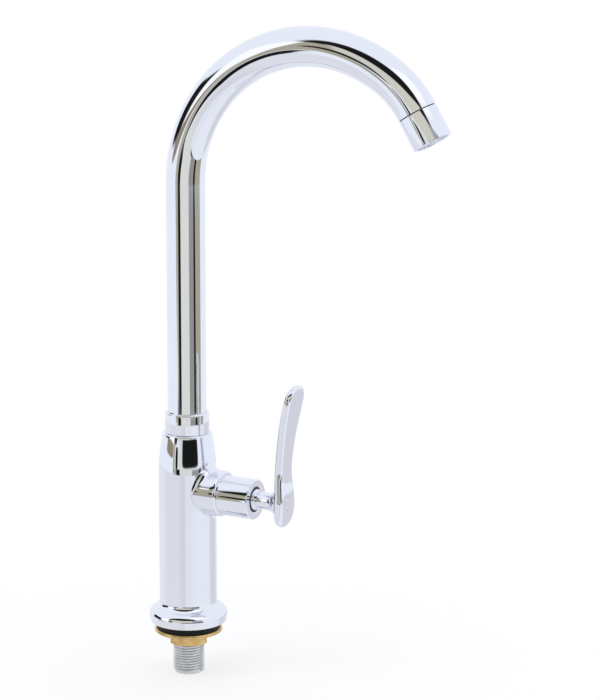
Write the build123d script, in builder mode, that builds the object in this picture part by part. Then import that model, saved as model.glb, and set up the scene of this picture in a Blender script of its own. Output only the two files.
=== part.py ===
"""Pillar tap with a swivelling swan-neck spout and a quarter-turn side lever.

Millimetres, +Z up. The origin is on the body's axis in the plane of the deck the foot stands on.
The valve's axis and, in the drawn position, the spout point along +X.
"""

import os
from math import cos, radians, sin, sqrt

from build123d import *

os.makedirs("parts", exist_ok=True)

# Fits and clearances
running_clearance = 0.05
thread_clearance = 0.08
free_clearance = 0.4
assembly_clearance = 0.05

# Inlet thread, half-inch pipe thread
thread_radius = 20.955 / 2
thread_pitch = 1.814
thread_depth = 1.162
thread_crest_width = 0.35
thread_flank_slope = 0.5
thread_lead_in = 1.1
thread_run_out = 0.9
shank_bottom_z = -35.2
shank_bore_radius = 6.75
shank_neck_depth = 0.15
shank_neck_bottom_z = -2.4
shank_socket_depth = 14.5
shank_seal_thickness = 1.5

# Body casting
flange_radius = 26.0
foot_crown_radius = 6.0
foot_crown_z = 4.4
foot_crease_rise = 0.9
foot_taper = 0.85
foot_edge_round = 0.8
foot_fillet = 2.5
foot_rim_width = 3.3
body_radius = 19.0
body_wall = 3.0
shoulder_rise = 8.5
body_top_round = 0.9
valve_z = 88.7
boss_radius = 15.1
boss_rise = 0.9
boss_reach = 9.2
boss_fillet = 5.0
boss_lip_round = 1.7

# Washer and back nut under the deck
gasket_recess_depth = 1.5
gasket_drop = 4.6
nut_disc_overhang = 1.4
nut_disc_height = 2.6
nut_disc_round = 1.1
nut_hex_wall = 1.45
nut_hex_height = 8.1
nut_corner_cut = 1.2

# Waterway inside the body
inlet_chamber_floor = 3.5
inlet_chamber_roof = 10.5
inlet_channel_x = -8.0
inlet_channel_radius = 4.0
seat_port_radius = 4.5
outlet_channel_x = 5.5
outlet_channel_radius = 4.0
spout_floor = 3.0

# Spout
tube_radius = 25.4 / 2
tube_wall = 1.0
riser_length = 163.6
bend_radius = 91.6
bend_sweep = 123.7
bend_end_radius = 67.5
bend_end_sweep = 25.3
tail_socket_radius = 10.45
tail_socket_depth = 12.5
tail_bore_radius = 7.2
tail_flange_height = 3.5
tail_spigot_length = 11.0
glide_ring_width = 0.9
glide_ring_height = 2.0
o_ring_groove_width = 2.4
o_ring_groove_depth = 1.85
o_ring_groove_margin = 3.6
collar_overlap = 0.55
collar_ledge = 1.6
collar_skirt = 8.5
collar_height = 13.9
collar_top_round = 1.0
collar_foot_round = 0.4

# Aerator, distances measured along the outlet from the tube's end
seam_width = 0.6
seam_depth = 0.9
aerator_length = 21.0
aerator_wall = 1.9
aerator_lip_round = 0.8
aerator_ledge = 7.4
bush_length = 8.5
bush_bend_allowance = 0.6
bush_wall = 1.1
spigot_wall = 1.4
spigot_length = 7.5
screen_thickness = 0.4
screen_pitch = 2.0
screen_wire = 0.6
insert_setback = 2.6
insert_hole_radius = 0.95
insert_ring_step = 2.6

# Valve, distances measured along +X from the body's axis
pocket_bottom_x = 2.0
pocket_radius = 10.0
pocket_gap = 1.0
mouth_depth = 8.6
mouth_radius = 11.0
mouth_o_ring_setback = 2.6
mouth_o_ring_section = 0.9
seat_seal_thickness = 2.5
fixed_disc_thickness = 3.0
moving_disc_thickness = 2.8
cartridge_shell_wall = 1.4
disc_port_offset = 3.6
disc_port_length = 2.2
disc_port_width = 2.8
disc_key_width = 4.0
disc_key_depth = 1.0
spindle_head_thickness = 3.1
thrust_washer_thickness = 0.6
cartridge_window_width = 6.0
cartridge_shoulder_thickness = 4.4
cartridge_neck_radius = 7.4
cartridge_end_setback = 8.4
spindle_radius = 4.0
spindle_seal_setback = 3.0
spindle_groove_depth = 1.15
spindle_groove_width = 1.6
spindle_reach = 10.6
circlip_thickness = 1.0
circlip_width = 2.4
circlip_groove_depth = 0.8
circlip_mouth = 3.2

# Bonnet and lever
bonnet_radius = 13.2
bonnet_wall = 1.5
bonnet_length = 22.7
bonnet_end_wall = 2.0
bonnet_edge_round = 0.8
bush_thickness = 1.3
bush_lip = 1.2
bush_setback = 0.7
hub_radius = 7.0
hub_overlap = 4.1
hub_shoulder = 0.6
hub_waist_reach = 7.4
hub_waist_radius = 5.6
hub_flare = 2.4
lever_standoff = 19.6
lever_drop = 14.9
lever_rise = 78.5
lever_foot_radius = 9.7
lever_waist_half_width = 6.8
lever_waist_rise = 25.5
lever_top_radius = 9.3
lever_edge_round = 2.0
lever_foot_lean = -0.4
lever_waist_lean = 0.4
lever_middle_lean = 5.0
lever_tip_lean = 10.2
lever_half_thickness = 2.9
lever_tip_half_thickness = 2.3
lever_hub_bulge = 1.5
lever_foot_bulge = 0.4
screw_head_radius = 3.6
screw_head_height = 2.4
screw_socket = 3.0
screw_shank_radius = 2.5
screw_length = 12.0
screw_web = 3.0
cap_radius = 8.6 / 2
cap_thickness = 2.2
cap_crown = 0.15
cap_edge_round = 0.3

# Derived sizes of the foot and body
crown_centre_radius = flange_radius - foot_crown_radius
fillet_centre_radius = body_radius + foot_fillet
fillet_centre_z = foot_crown_z + sqrt(
    (foot_crown_radius + foot_fillet) ** 2 - (fillet_centre_radius - crown_centre_radius) ** 2
)
crown_share = foot_crown_radius / (foot_crown_radius + foot_fillet)
crown_top = (
    crown_centre_radius + crown_share * (fillet_centre_radius - crown_centre_radius),
    foot_crown_z + crown_share * (fillet_centre_z - foot_crown_z),
)
foot_crease = (
    crown_centre_radius + sqrt(foot_crown_radius**2 - foot_crease_rise**2),
    foot_crown_z + foot_crease_rise,
)
foot_edge_radius = flange_radius - foot_taper
gasket_recess_radius = foot_edge_radius - foot_rim_width
gasket_radius = gasket_recess_radius - 2 * free_clearance
gasket_bore_radius = thread_radius + free_clearance
gasket_bottom_z = -gasket_drop
nut_disc_radius = gasket_radius + nut_disc_overhang
nut_hex_top_z = gasket_bottom_z - nut_disc_height
nut_bottom_z = nut_hex_top_z - nut_hex_height
nut_bore_radius = thread_radius + thread_clearance
nut_hex_inner_radius = nut_bore_radius + nut_hex_wall
thread_root_radius = thread_radius - thread_depth
shank_neck_radius = thread_root_radius - shank_neck_depth
shank_top_z = gasket_recess_depth + shank_socket_depth
shank_seal_top_z = shank_top_z + shank_seal_thickness
inlet_chamber_radius = body_radius - body_wall
inlet_chamber_bottom_z = shank_seal_top_z + inlet_chamber_floor
inlet_chamber_top_z = valve_z - pocket_radius - inlet_chamber_roof

# Derived sizes of the spout
tube_inner_radius = tube_radius - tube_wall
tube_hole_radius = tube_radius + running_clearance
tail_flange_radius = tube_radius + glide_ring_width
collar_socket_radius = tail_flange_radius + free_clearance
collar_radius = collar_socket_radius + collar_overlap
body_top_radius = collar_radius + collar_ledge
tail_shaft_radius = tail_socket_radius - running_clearance
tail_groove_radius = tail_shaft_radius - o_ring_groove_depth
tail_socket_bottom_z = valve_z + pocket_radius + spout_floor
tail_step_z = tail_socket_bottom_z + tail_socket_depth
lower_groove_z = tail_socket_bottom_z + o_ring_groove_margin
upper_groove_z = tail_step_z - o_ring_groove_margin
tube_bottom_z = tail_step_z + tail_flange_height
glide_ring_top_z = tube_bottom_z + glide_ring_height
body_top_z = glide_ring_top_z + collar_skirt
collar_top_z = body_top_z + collar_height
bend_start_z = body_top_z + riser_length
bend_turn = radians(180.0 - bend_sweep)
outlet_tilt = radians(180.0 - bend_sweep - bend_end_sweep)
bend_centre_shift = bend_radius - bend_end_radius
outlet_point = (
    bend_radius + bend_centre_shift * cos(bend_turn) + bend_end_radius * cos(outlet_tilt),
    0,
    bend_start_z + bend_centre_shift * sin(bend_turn) + bend_end_radius * sin(outlet_tilt),
)
outlet_direction = (sin(outlet_tilt), 0, -cos(outlet_tilt))
outlet_axis = Axis(outlet_point, outlet_direction)
outlet_half = Plane(origin=outlet_point, x_dir=(cos(outlet_tilt), 0, sin(outlet_tilt)), z_dir=(0, 1, 0))
outlet_plane = Plane(origin=outlet_point, x_dir=(0, 1, 0), z_dir=outlet_direction)
bush_radius = tube_inner_radius - bush_bend_allowance
bush_bore_radius = bush_radius - bush_wall
spigot_radius = bush_bore_radius - assembly_clearance
aerator_bore_radius = tube_radius - aerator_wall
insert_radius = aerator_bore_radius - assembly_clearance
insert_start = aerator_ledge + screen_thickness

# Derived sizes of the valve and lever
valve_axis = Axis((0, 0, valve_z), (1, 0, 0))
valve_half = Plane(origin=(0, 0, valve_z), x_dir=(1, 0, 0), z_dir=(0, -1, 0))
valve_plane = Plane(origin=(0, 0, valve_z), x_dir=(0, 1, 0), z_dir=(1, 0, 0))
boss_end_x = body_radius + boss_reach
seat_port_start_x = inlet_channel_x - inlet_channel_radius / 2
mouth_start_x = boss_end_x - mouth_depth
mouth_thread_radius = mouth_radius - assembly_clearance
mouth_o_ring_x = boss_end_x - mouth_o_ring_setback
seat_seal_end_x = pocket_bottom_x + seat_seal_thickness
fixed_disc_end_x = seat_seal_end_x + fixed_disc_thickness
moving_disc_end_x = fixed_disc_end_x + moving_disc_thickness
thrust_washer_start_x = moving_disc_end_x + spindle_head_thickness
cartridge_chamber_end_x = thrust_washer_start_x + thrust_washer_thickness
cartridge_radius = pocket_radius - pocket_gap
cartridge_bore_radius = cartridge_radius - cartridge_shell_wall
fixed_disc_radius = cartridge_bore_radius - assembly_clearance
moving_disc_radius = cartridge_bore_radius - free_clearance
spindle_head_radius = moving_disc_radius - 2 * free_clearance
spindle_bore_radius = spindle_radius + running_clearance
spindle_groove_radius = spindle_radius - spindle_groove_depth
spindle_seal_x = boss_end_x - spindle_seal_setback
bonnet_inner_radius = bonnet_radius - bonnet_wall
bonnet_end_x = boss_end_x + bonnet_length
bonnet_wall_x = bonnet_end_x - bonnet_end_wall
cartridge_shoulder_radius = bonnet_inner_radius - assembly_clearance
cartridge_shoulder_end_x = boss_end_x + cartridge_shoulder_thickness
cartridge_end_x = bonnet_end_x - cartridge_end_setback
circlip_groove_radius = spindle_radius - circlip_groove_depth
circlip_radius = circlip_groove_radius + circlip_width
spindle_end_x = bonnet_end_x + spindle_reach
bush_inner_radius = hub_radius + running_clearance
bonnet_hole_radius = bush_inner_radius + bush_thickness
hub_bore_radius = spindle_radius + assembly_clearance
hub_start_x = bonnet_end_x - hub_overlap
hub_waist_x = bonnet_end_x + hub_waist_reach
lever_hub_x = bonnet_end_x + lever_standoff
lever_back_x = lever_hub_x - lever_half_thickness
lever_front_x = lever_hub_x + lever_half_thickness + lever_hub_bulge
lever_bottom_z = valve_z - lever_drop
lever_top_z = valve_z + lever_rise
lever_waist_z = valve_z + lever_waist_rise
lever_middle_z = (lever_waist_z + lever_top_z) / 2
lever_foot_centre_z = lever_bottom_z + lever_foot_radius
lever_top_centre_z = lever_top_z - lever_top_radius
screw_hole_radius = screw_shank_radius + assembly_clearance
screw_seat_x = spindle_end_x + screw_web
screw_start_x = screw_seat_x - screw_length
cap_back_x = lever_front_x - cap_thickness

# Body: barrel on a rounded foot, shoulder above, boss to the side, waterway inside
with BuildPart() as body:
    with BuildSketch(Plane.XZ) as body_profile:
        with BuildLine():
            Polyline((0, 0), (foot_edge_radius, 0), foot_crease)
            crown_tangent = (foot_crown_z - foot_crease[1], foot_crease[0] - crown_centre_radius)
            TangentArc(foot_crease, crown_top, tangent=crown_tangent)
            TangentArc((body_radius, fillet_centre_z), crown_top, tangent=(0, -1))
            barrel = Line((body_radius, fillet_centre_z), (body_radius, valve_z + shoulder_rise))
            TangentArc(barrel @ 1, (body_top_radius, body_top_z), tangent=(0, 1))
            Line((body_top_radius, body_top_z), (0, body_top_z))
            Line((0, body_top_z), (0, 0))
        make_face()
        fillet(body_profile.vertices().sort_by_distance((foot_edge_radius, 0))[0], foot_edge_round)
        fillet(body_profile.vertices().sort_by_distance((body_top_radius, body_top_z))[0], body_top_round)
    revolve(axis=Axis.Z)
    with BuildSketch(valve_plane):
        with Locations((0, boss_rise)):
            Circle(boss_radius)
    extrude(amount=boss_end_x)
    boss_edges = body.edges(Select.NEW).sort_by(Axis.X)
    fillet(boss_edges[:-1], boss_fillet)
    fillet(body.edges().filter_by(GeomType.CIRCLE).sort_by(Axis.X)[-1], boss_lip_round)
    with BuildSketch(Plane.XZ):
        with Locations((0, gasket_recess_depth / 2)):
            Rectangle(2 * gasket_recess_radius, gasket_recess_depth)
        with Locations((0, shank_seal_top_z / 2)):
            Rectangle(2 * thread_radius, shank_seal_top_z)
        split(bisect_by=Plane.YZ)
    revolve(axis=Axis.Z, mode=Mode.SUBTRACT)
    with BuildSketch(Plane.XZ):
        with BuildLine():
            Polyline(
                (0, shank_top_z),
                (shank_bore_radius, shank_top_z),
                (shank_bore_radius, inlet_chamber_bottom_z),
                (inlet_chamber_radius, inlet_chamber_bottom_z + inlet_chamber_radius - shank_bore_radius),
                (inlet_chamber_radius, inlet_chamber_top_z),
                (0, inlet_chamber_top_z + inlet_chamber_radius / 2),
                close=True,
            )
        make_face()
    revolve(axis=Axis.Z, mode=Mode.SUBTRACT)
    with BuildSketch(Plane.XY.offset(inlet_chamber_top_z)):
        with Locations((inlet_channel_x, 0)):
            Circle(inlet_channel_radius)
    extrude(amount=valve_z - inlet_chamber_top_z, mode=Mode.SUBTRACT)
    with BuildSketch(valve_plane.offset(seat_port_start_x)):
        Circle(seat_port_radius)
    extrude(amount=pocket_bottom_x - seat_port_start_x, mode=Mode.SUBTRACT)
    with BuildSketch(valve_plane.offset(pocket_bottom_x)):
        Circle(pocket_radius)
    extrude(amount=mouth_start_x - pocket_bottom_x, mode=Mode.SUBTRACT)
    with BuildSketch(valve_plane.offset(mouth_start_x)):
        Circle(mouth_radius)
    extrude(amount=boss_end_x - mouth_start_x, mode=Mode.SUBTRACT)
    with BuildSketch(Plane.XY.offset(valve_z)):
        with Locations((outlet_channel_x, 0)):
            Circle(outlet_channel_radius)
    extrude(amount=tail_socket_bottom_z - valve_z, mode=Mode.SUBTRACT)
    with BuildSketch(Plane.XY.offset(tail_socket_bottom_z)):
        Circle(tail_socket_radius)
    extrude(amount=tail_step_z - tail_socket_bottom_z, mode=Mode.SUBTRACT)
    with BuildSketch(Plane.XY.offset(tail_step_z)):
        Circle(collar_socket_radius)
    extrude(amount=body_top_z - tail_step_z, mode=Mode.SUBTRACT)
body.part.label = "body"
export_step(body.part, "parts/body.step")

# Inlet shank: half-inch pipe thread below the deck, plain neck, top screwed into the body
with BuildPart() as inlet_shank:
    with BuildSketch(Plane.XZ):
        with BuildLine():
            Polyline(
                (shank_bore_radius, shank_bottom_z),
                (thread_root_radius, shank_bottom_z),
                (thread_root_radius, shank_neck_bottom_z),
                (shank_neck_radius, shank_neck_bottom_z),
                (shank_neck_radius, gasket_recess_depth),
                (thread_radius - assembly_clearance, gasket_recess_depth),
                (thread_radius - assembly_clearance, shank_top_z),
                (shank_bore_radius, shank_top_z),
                close=True,
            )
        make_face()
    revolve(axis=Axis.Z)
    with BuildLine() as thread_path:
        thread_start_z = shank_bottom_z + thread_lead_in
        thread_length = shank_neck_bottom_z - thread_run_out - thread_start_z
        Helix(thread_pitch, thread_length, thread_radius, center=(0, 0, thread_start_z))
    with BuildSketch(Plane(thread_path.line @ 0, x_dir=(1, 0, 0), z_dir=thread_path.line % 0)):
        with BuildLine():
            ridge_foot = thread_depth + 0.1
            crest_half = thread_crest_width / 2
            foot_half = crest_half + ridge_foot * thread_flank_slope
            Polyline(
                (0, -crest_half),
                (-ridge_foot, -foot_half),
                (-ridge_foot, foot_half),
                (0, crest_half),
                close=True,
            )
        make_face()
    sweep(path=thread_path.line, is_frenet=True)
inlet_shank.part.label = "inlet_shank"
export_step(inlet_shank.part, "parts/inlet_shank.step")

# Flat seal above the shank
with BuildPart() as shank_seal:
    with BuildSketch(Plane.XY.offset(shank_top_z)):
        Circle(thread_radius - free_clearance)
        Circle(shank_bore_radius, mode=Mode.SUBTRACT)
    extrude(amount=shank_seal_thickness)
shank_seal.part.label = "shank_seal"
export_step(shank_seal.part, "parts/shank_seal.step")

# Rubber washer in the foot's recess
with BuildPart() as base_gasket:
    with BuildSketch(Plane.XY.offset(gasket_bottom_z)):
        Circle(gasket_radius)
        Circle(gasket_bore_radius, mode=Mode.SUBTRACT)
    extrude(amount=gasket_recess_depth - gasket_bottom_z)
base_gasket.part.label = "base_gasket"
export_step(base_gasket.part, "parts/base_gasket.step")

# Back nut: round flange and hexagon in one piece
with BuildPart() as lock_nut:
    with BuildSketch(Plane.XY.offset(nut_hex_top_z)):
        Circle(nut_disc_radius)
    extrude(amount=nut_disc_height)
    fillet(lock_nut.edges(), nut_disc_round)
    with BuildSketch(Plane.XY.offset(nut_bottom_z)):
        RegularPolygon(nut_hex_inner_radius, 6, major_radius=False)
    extrude(amount=nut_hex_height + nut_disc_height / 2)
    with BuildSketch(Plane.XZ):
        with BuildLine():
            hex_corner_radius = nut_hex_inner_radius * 2 / sqrt(3)
            Polyline(
                (nut_hex_inner_radius, nut_bottom_z),
                (hex_corner_radius, nut_bottom_z + nut_corner_cut),
                (hex_corner_radius + nut_corner_cut, nut_bottom_z + nut_corner_cut),
                (hex_corner_radius + nut_corner_cut, nut_bottom_z),
                close=True,
            )
        make_face()
    revolve(axis=Axis.Z, mode=Mode.SUBTRACT)
    with BuildSketch(Plane.XY.offset(nut_bottom_z)):
        Circle(nut_bore_radius)
    extrude(amount=nut_disc_height + nut_hex_height, mode=Mode.SUBTRACT)
lock_nut.part.label = "lock_nut"
export_step(lock_nut.part, "parts/lock_nut.step")

# Collar: screwed into the body's top, holds the spout down
with BuildPart() as spout_collar:
    with BuildSketch(Plane.XZ) as collar_profile:
        with BuildLine():
            Polyline(
                (tube_hole_radius, glide_ring_top_z),
                (collar_socket_radius - assembly_clearance, glide_ring_top_z),
                (collar_socket_radius - assembly_clearance, body_top_z),
                (collar_radius, body_top_z),
                (collar_radius, collar_top_z),
                (tube_hole_radius, collar_top_z),
                close=True,
            )
        make_face()
        fillet(collar_profile.vertices().sort_by_distance((collar_radius, collar_top_z))[0], collar_top_round)
        fillet(collar_profile.vertices().sort_by_distance((collar_radius, body_top_z))[0], collar_foot_round)
    revolve(axis=Axis.Z)
spout_collar.part.label = "spout_collar"
export_step(spout_collar.part, "parts/spout_collar.step")

# Nylon ring on the spout's flange, under the collar
with BuildPart() as spout_glide_ring:
    with BuildSketch(Plane.XY.offset(tube_bottom_z)):
        Circle(tail_flange_radius)
        Circle(tube_hole_radius, mode=Mode.SUBTRACT)
    extrude(amount=glide_ring_height)
spout_glide_ring.part.label = "spout_glide_ring"
export_step(spout_glide_ring.part, "parts/spout_glide_ring.step")

# Spout tube: riser and arch
with BuildPart() as spout_tube:
    with BuildLine(Plane.XZ) as spout_line:
        riser = Line((0, tube_bottom_z), (0, bend_start_z))
        arch = JernArc(start=riser @ 1, tangent=riser % 1, radius=bend_radius, arc_size=-bend_sweep)
        JernArc(start=arch @ 1, tangent=arch % 1, radius=bend_end_radius, arc_size=-bend_end_sweep)
    with BuildSketch(Plane.XY.offset(tube_bottom_z)):
        Circle(tube_radius)
        Circle(tube_inner_radius, mode=Mode.SUBTRACT)
    sweep(path=spout_line.line)
spout_tube.part.label = "spout_tube"
export_step(spout_tube.part, "parts/spout_tube.step")

# Tail: turned brass end of the spout, turns in the body's socket
with BuildPart() as spout_tail:
    with BuildSketch(Plane.XZ):
        with BuildLine():
            Polyline(
                (tail_bore_radius, tail_socket_bottom_z),
                (tail_shaft_radius, tail_socket_bottom_z),
                (tail_shaft_radius, tail_step_z),
                (tail_flange_radius, tail_step_z),
                (tail_flange_radius, tube_bottom_z),
                (tube_inner_radius - assembly_clearance, tube_bottom_z),
                (tube_inner_radius - assembly_clearance, tube_bottom_z + tail_spigot_length),
                (tail_bore_radius, tube_bottom_z + tail_spigot_length),
                close=True,
            )
        make_face()
        with Locations((tail_shaft_radius, lower_groove_z), (tail_shaft_radius, upper_groove_z)):
            Rectangle(2 * o_ring_groove_depth, o_ring_groove_width, mode=Mode.SUBTRACT)
    revolve(axis=Axis.Z)
spout_tail.part.label = "spout_tail"
export_step(spout_tail.part, "parts/spout_tail.step")

# Seals on the tail, drawn at their squeezed size
with BuildPart() as spout_o_ring_lower:
    with BuildSketch(Plane.XZ):
        with Locations((tail_groove_radius + o_ring_groove_depth / 2, lower_groove_z)):
            Circle(o_ring_groove_depth / 2)
    revolve(axis=Axis.Z)
spout_o_ring_lower.part.label = "spout_o_ring_lower"
export_step(spout_o_ring_lower.part, "parts/spout_o_ring_lower.step")

with BuildPart() as spout_o_ring_upper:
    with BuildSketch(Plane.XZ):
        with Locations((tail_groove_radius + o_ring_groove_depth / 2, upper_groove_z)):
            Circle(o_ring_groove_depth / 2)
    revolve(axis=Axis.Z)
spout_o_ring_upper.part.label = "spout_o_ring_upper"
export_step(spout_o_ring_upper.part, "parts/spout_o_ring_upper.step")

# Bush brazed into the tube's end, threaded inside for the aerator
with BuildPart() as outlet_bush:
    with BuildSketch(outlet_plane.offset(-bush_length)):
        Circle(bush_radius)
        Circle(bush_bore_radius, mode=Mode.SUBTRACT)
    extrude(amount=bush_length)
outlet_bush.part.label = "outlet_bush"
export_step(outlet_bush.part, "parts/outlet_bush.step")

# Seal in the seam between the tube and the aerator
with BuildPart() as aerator_seal:
    with BuildSketch(outlet_plane):
        Circle(tube_radius - seam_depth)
        Circle(bush_bore_radius, mode=Mode.SUBTRACT)
    extrude(amount=seam_width)
aerator_seal.part.label = "aerator_seal"
export_step(aerator_seal.part, "parts/aerator_seal.step")

# Aerator sleeve with its screwed spigot
with BuildPart() as aerator_housing:
    with BuildSketch(outlet_half) as housing_profile:
        with BuildLine():
            Polyline(
                (spigot_radius - spigot_wall, -spigot_length),
                (spigot_radius, -spigot_length),
                (spigot_radius, seam_width),
                (tube_radius, seam_width),
                (tube_radius, aerator_length),
                (aerator_bore_radius, aerator_length),
                (aerator_bore_radius, aerator_ledge),
                (spigot_radius - spigot_wall, aerator_ledge),
                close=True,
            )
        make_face()
    revolve(axis=outlet_axis)
    lip_edges = aerator_housing.edges().filter_by(GeomType.CIRCLE).sort_by(outlet_axis)[-2:]
    fillet(lip_edges, aerator_lip_round)
aerator_housing.part.label = "aerator_housing"
export_step(aerator_housing.part, "parts/aerator_housing.step")

# Steel gauze, drawn as a pierced disc
with BuildPart() as aerator_screen:
    with BuildSketch(outlet_plane.offset(aerator_ledge)):
        Circle(insert_radius)
        with GridLocations(screen_pitch, screen_pitch, 7, 7):
            Rectangle(screen_pitch - screen_wire, screen_pitch - screen_wire, mode=Mode.SUBTRACT)
    extrude(amount=screen_thickness)
aerator_screen.part.label = "aerator_screen"
export_step(aerator_screen.part, "parts/aerator_screen.step")

# Jet core: pierced plastic disc set back in the sleeve
with BuildPart() as aerator_insert:
    with BuildSketch(outlet_plane.offset(insert_start)):
        Circle(insert_radius)
        Circle(insert_hole_radius, mode=Mode.SUBTRACT)
        with PolarLocations(insert_ring_step, 6):
            Circle(insert_hole_radius, mode=Mode.SUBTRACT)
        with PolarLocations(2 * insert_ring_step, 12):
            Circle(insert_hole_radius, mode=Mode.SUBTRACT)
        with PolarLocations(3 * insert_ring_step, 18):
            Circle(insert_hole_radius, mode=Mode.SUBTRACT)
    extrude(amount=aerator_length - insert_setback - insert_start)
aerator_insert.part.label = "aerator_insert"
export_step(aerator_insert.part, "parts/aerator_insert.step")

# Seat seal between the valve's seat and the cartridge
with BuildPart() as seat_seal:
    with BuildSketch(valve_plane.offset(pocket_bottom_x)):
        Circle(cartridge_radius)
        Circle(seat_port_radius, mode=Mode.SUBTRACT)
    extrude(amount=seat_seal_thickness)
seat_seal.part.label = "seat_seal"
export_step(seat_seal.part, "parts/seat_seal.step")

# Ceramic discs: the ports meet when the lever is down
with BuildPart() as fixed_disc:
    with BuildSketch(valve_plane.offset(seat_seal_end_x)):
        Circle(fixed_disc_radius)
        with Locations((disc_port_offset, 0)):
            SlotCenterToCenter(disc_port_length, disc_port_width, rotation=90, mode=Mode.SUBTRACT)
    extrude(amount=fixed_disc_thickness)
fixed_disc.part.label = "fixed_disc"
export_step(fixed_disc.part, "parts/fixed_disc.step")

with BuildPart() as moving_disc:
    with BuildSketch(valve_plane.offset(fixed_disc_end_x)):
        Circle(moving_disc_radius)
        with Locations((0, -disc_port_offset)):
            SlotCenterToCenter(disc_port_length, disc_port_width, mode=Mode.SUBTRACT)
    extrude(amount=moving_disc_thickness)
    with BuildSketch(valve_plane.offset(moving_disc_end_x - disc_key_depth)):
        with Locations((0, disc_key_width / 2)):
            Rectangle(2 * moving_disc_radius, disc_key_width)
    extrude(amount=disc_key_depth, mode=Mode.SUBTRACT)
moving_disc.part.label = "moving_disc"
export_step(moving_disc.part, "parts/moving_disc.step")

# Cartridge body: screwed into the boss, windowed shell round the discs, neck round the spindle
with BuildPart() as headwork_body:
    with BuildSketch(valve_half):
        with BuildLine():
            Polyline(
                (seat_seal_end_x, cartridge_bore_radius),
                (seat_seal_end_x, cartridge_radius),
                (mouth_start_x, cartridge_radius),
                (mouth_start_x, mouth_thread_radius),
                (boss_end_x, mouth_thread_radius),
                (boss_end_x, cartridge_shoulder_radius),
                (cartridge_shoulder_end_x, cartridge_shoulder_radius),
                (cartridge_shoulder_end_x, cartridge_neck_radius),
                (cartridge_end_x, cartridge_neck_radius),
                (cartridge_end_x, spindle_bore_radius),
                (cartridge_chamber_end_x, spindle_bore_radius),
                (cartridge_chamber_end_x, cartridge_bore_radius),
                close=True,
            )
        make_face()
        with Locations((mouth_o_ring_x, mouth_thread_radius)):
            Rectangle(
                2 * mouth_o_ring_section + 2 * free_clearance,
                4 * mouth_o_ring_section,
                mode=Mode.SUBTRACT,
            )
    revolve(axis=valve_axis)
    window_length = cartridge_chamber_end_x - moving_disc_end_x
    with BuildSketch(Plane.XZ.offset(-cartridge_radius)):
        with Locations((moving_disc_end_x + window_length / 2, valve_z)):
            Rectangle(window_length, cartridge_window_width)
    extrude(amount=2 * cartridge_radius, mode=Mode.SUBTRACT)
headwork_body.part.label = "headwork_body"
export_step(headwork_body.part, "parts/headwork_body.step")

# Seal in the boss's mouth
with BuildPart() as headwork_o_ring:
    with BuildSketch(valve_half):
        with Locations((mouth_o_ring_x, mouth_thread_radius - mouth_o_ring_section)):
            Circle(mouth_o_ring_section)
    revolve(axis=valve_axis)
headwork_o_ring.part.label = "headwork_o_ring"
export_step(headwork_o_ring.part, "parts/headwork_o_ring.step")

# Thrust washer behind the spindle's head
with BuildPart() as thrust_washer:
    with BuildSketch(valve_plane.offset(thrust_washer_start_x)):
        Circle(spindle_head_radius)
        Circle(spindle_radius + free_clearance, mode=Mode.SUBTRACT)
    extrude(amount=thrust_washer_thickness)
thrust_washer.part.label = "thrust_washer"
export_step(thrust_washer.part, "parts/thrust_washer.step")

# Spindle: keyed head on the moving disc, seal groove, circlip groove, tapped end
with BuildPart() as spindle:
    with BuildSketch(valve_half):
        with BuildLine():
            Polyline(
                (moving_disc_end_x, 0),
                (moving_disc_end_x, spindle_head_radius),
                (thrust_washer_start_x, spindle_head_radius),
                (thrust_washer_start_x, spindle_radius),
                (spindle_end_x, spindle_radius),
                (spindle_end_x, screw_hole_radius),
                (screw_start_x - screw_shank_radius, screw_hole_radius),
                (screw_start_x - screw_shank_radius, 0),
                close=True,
            )
        make_face()
        with Locations((spindle_seal_x, spindle_radius)):
            Rectangle(spindle_groove_width, 2 * spindle_groove_depth, mode=Mode.SUBTRACT)
        with Locations((cartridge_end_x + circlip_thickness / 2, spindle_radius)):
            Rectangle(circlip_thickness, 2 * circlip_groove_depth, mode=Mode.SUBTRACT)
    revolve(axis=valve_axis)
    with BuildSketch(valve_plane.offset(moving_disc_end_x - disc_key_depth)):
        with Locations((0, disc_key_width / 2)):
            Rectangle(1.5 * spindle_head_radius, disc_key_width - 2 * assembly_clearance)
    extrude(amount=disc_key_depth)
spindle.part.label = "spindle"
export_step(spindle.part, "parts/spindle.step")

# Seal on the spindle
with BuildPart() as spindle_o_ring:
    with BuildSketch(valve_half):
        with Locations((spindle_seal_x, spindle_radius - spindle_groove_depth / 2)):
            Circle(spindle_groove_depth / 2)
    revolve(axis=valve_axis)
spindle_o_ring.part.label = "spindle_o_ring"
export_step(spindle_o_ring.part, "parts/spindle_o_ring.step")

# Open spring ring that keeps the spindle in the cartridge
with BuildPart() as spindle_circlip:
    with BuildSketch(valve_plane.offset(cartridge_end_x)):
        Circle(circlip_radius)
        Circle(circlip_groove_radius, mode=Mode.SUBTRACT)
        with Locations((0, -circlip_radius)):
            Rectangle(circlip_mouth, circlip_radius, mode=Mode.SUBTRACT)
    extrude(amount=circlip_thickness)
spindle_circlip.part.label = "spindle_circlip"
export_step(spindle_circlip.part, "parts/spindle_circlip.step")

# Bonnet: sleeve screwed over the cartridge's shoulder, against the boss
with BuildPart() as bonnet:
    with BuildSketch(valve_half) as bonnet_profile:
        with BuildLine():
            Polyline(
                (boss_end_x, bonnet_inner_radius),
                (boss_end_x, bonnet_radius),
                (bonnet_end_x, bonnet_radius),
                (bonnet_end_x, bonnet_hole_radius),
                (bonnet_wall_x, bonnet_hole_radius),
                (bonnet_wall_x, bonnet_inner_radius),
                close=True,
            )
        make_face()
    revolve(axis=valve_axis)
    fillet(bonnet.edges().filter_by(GeomType.CIRCLE).sort_by(Axis.X)[-2:], bonnet_edge_round)
bonnet.part.label = "bonnet"
export_step(bonnet.part, "parts/bonnet.step")

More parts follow.
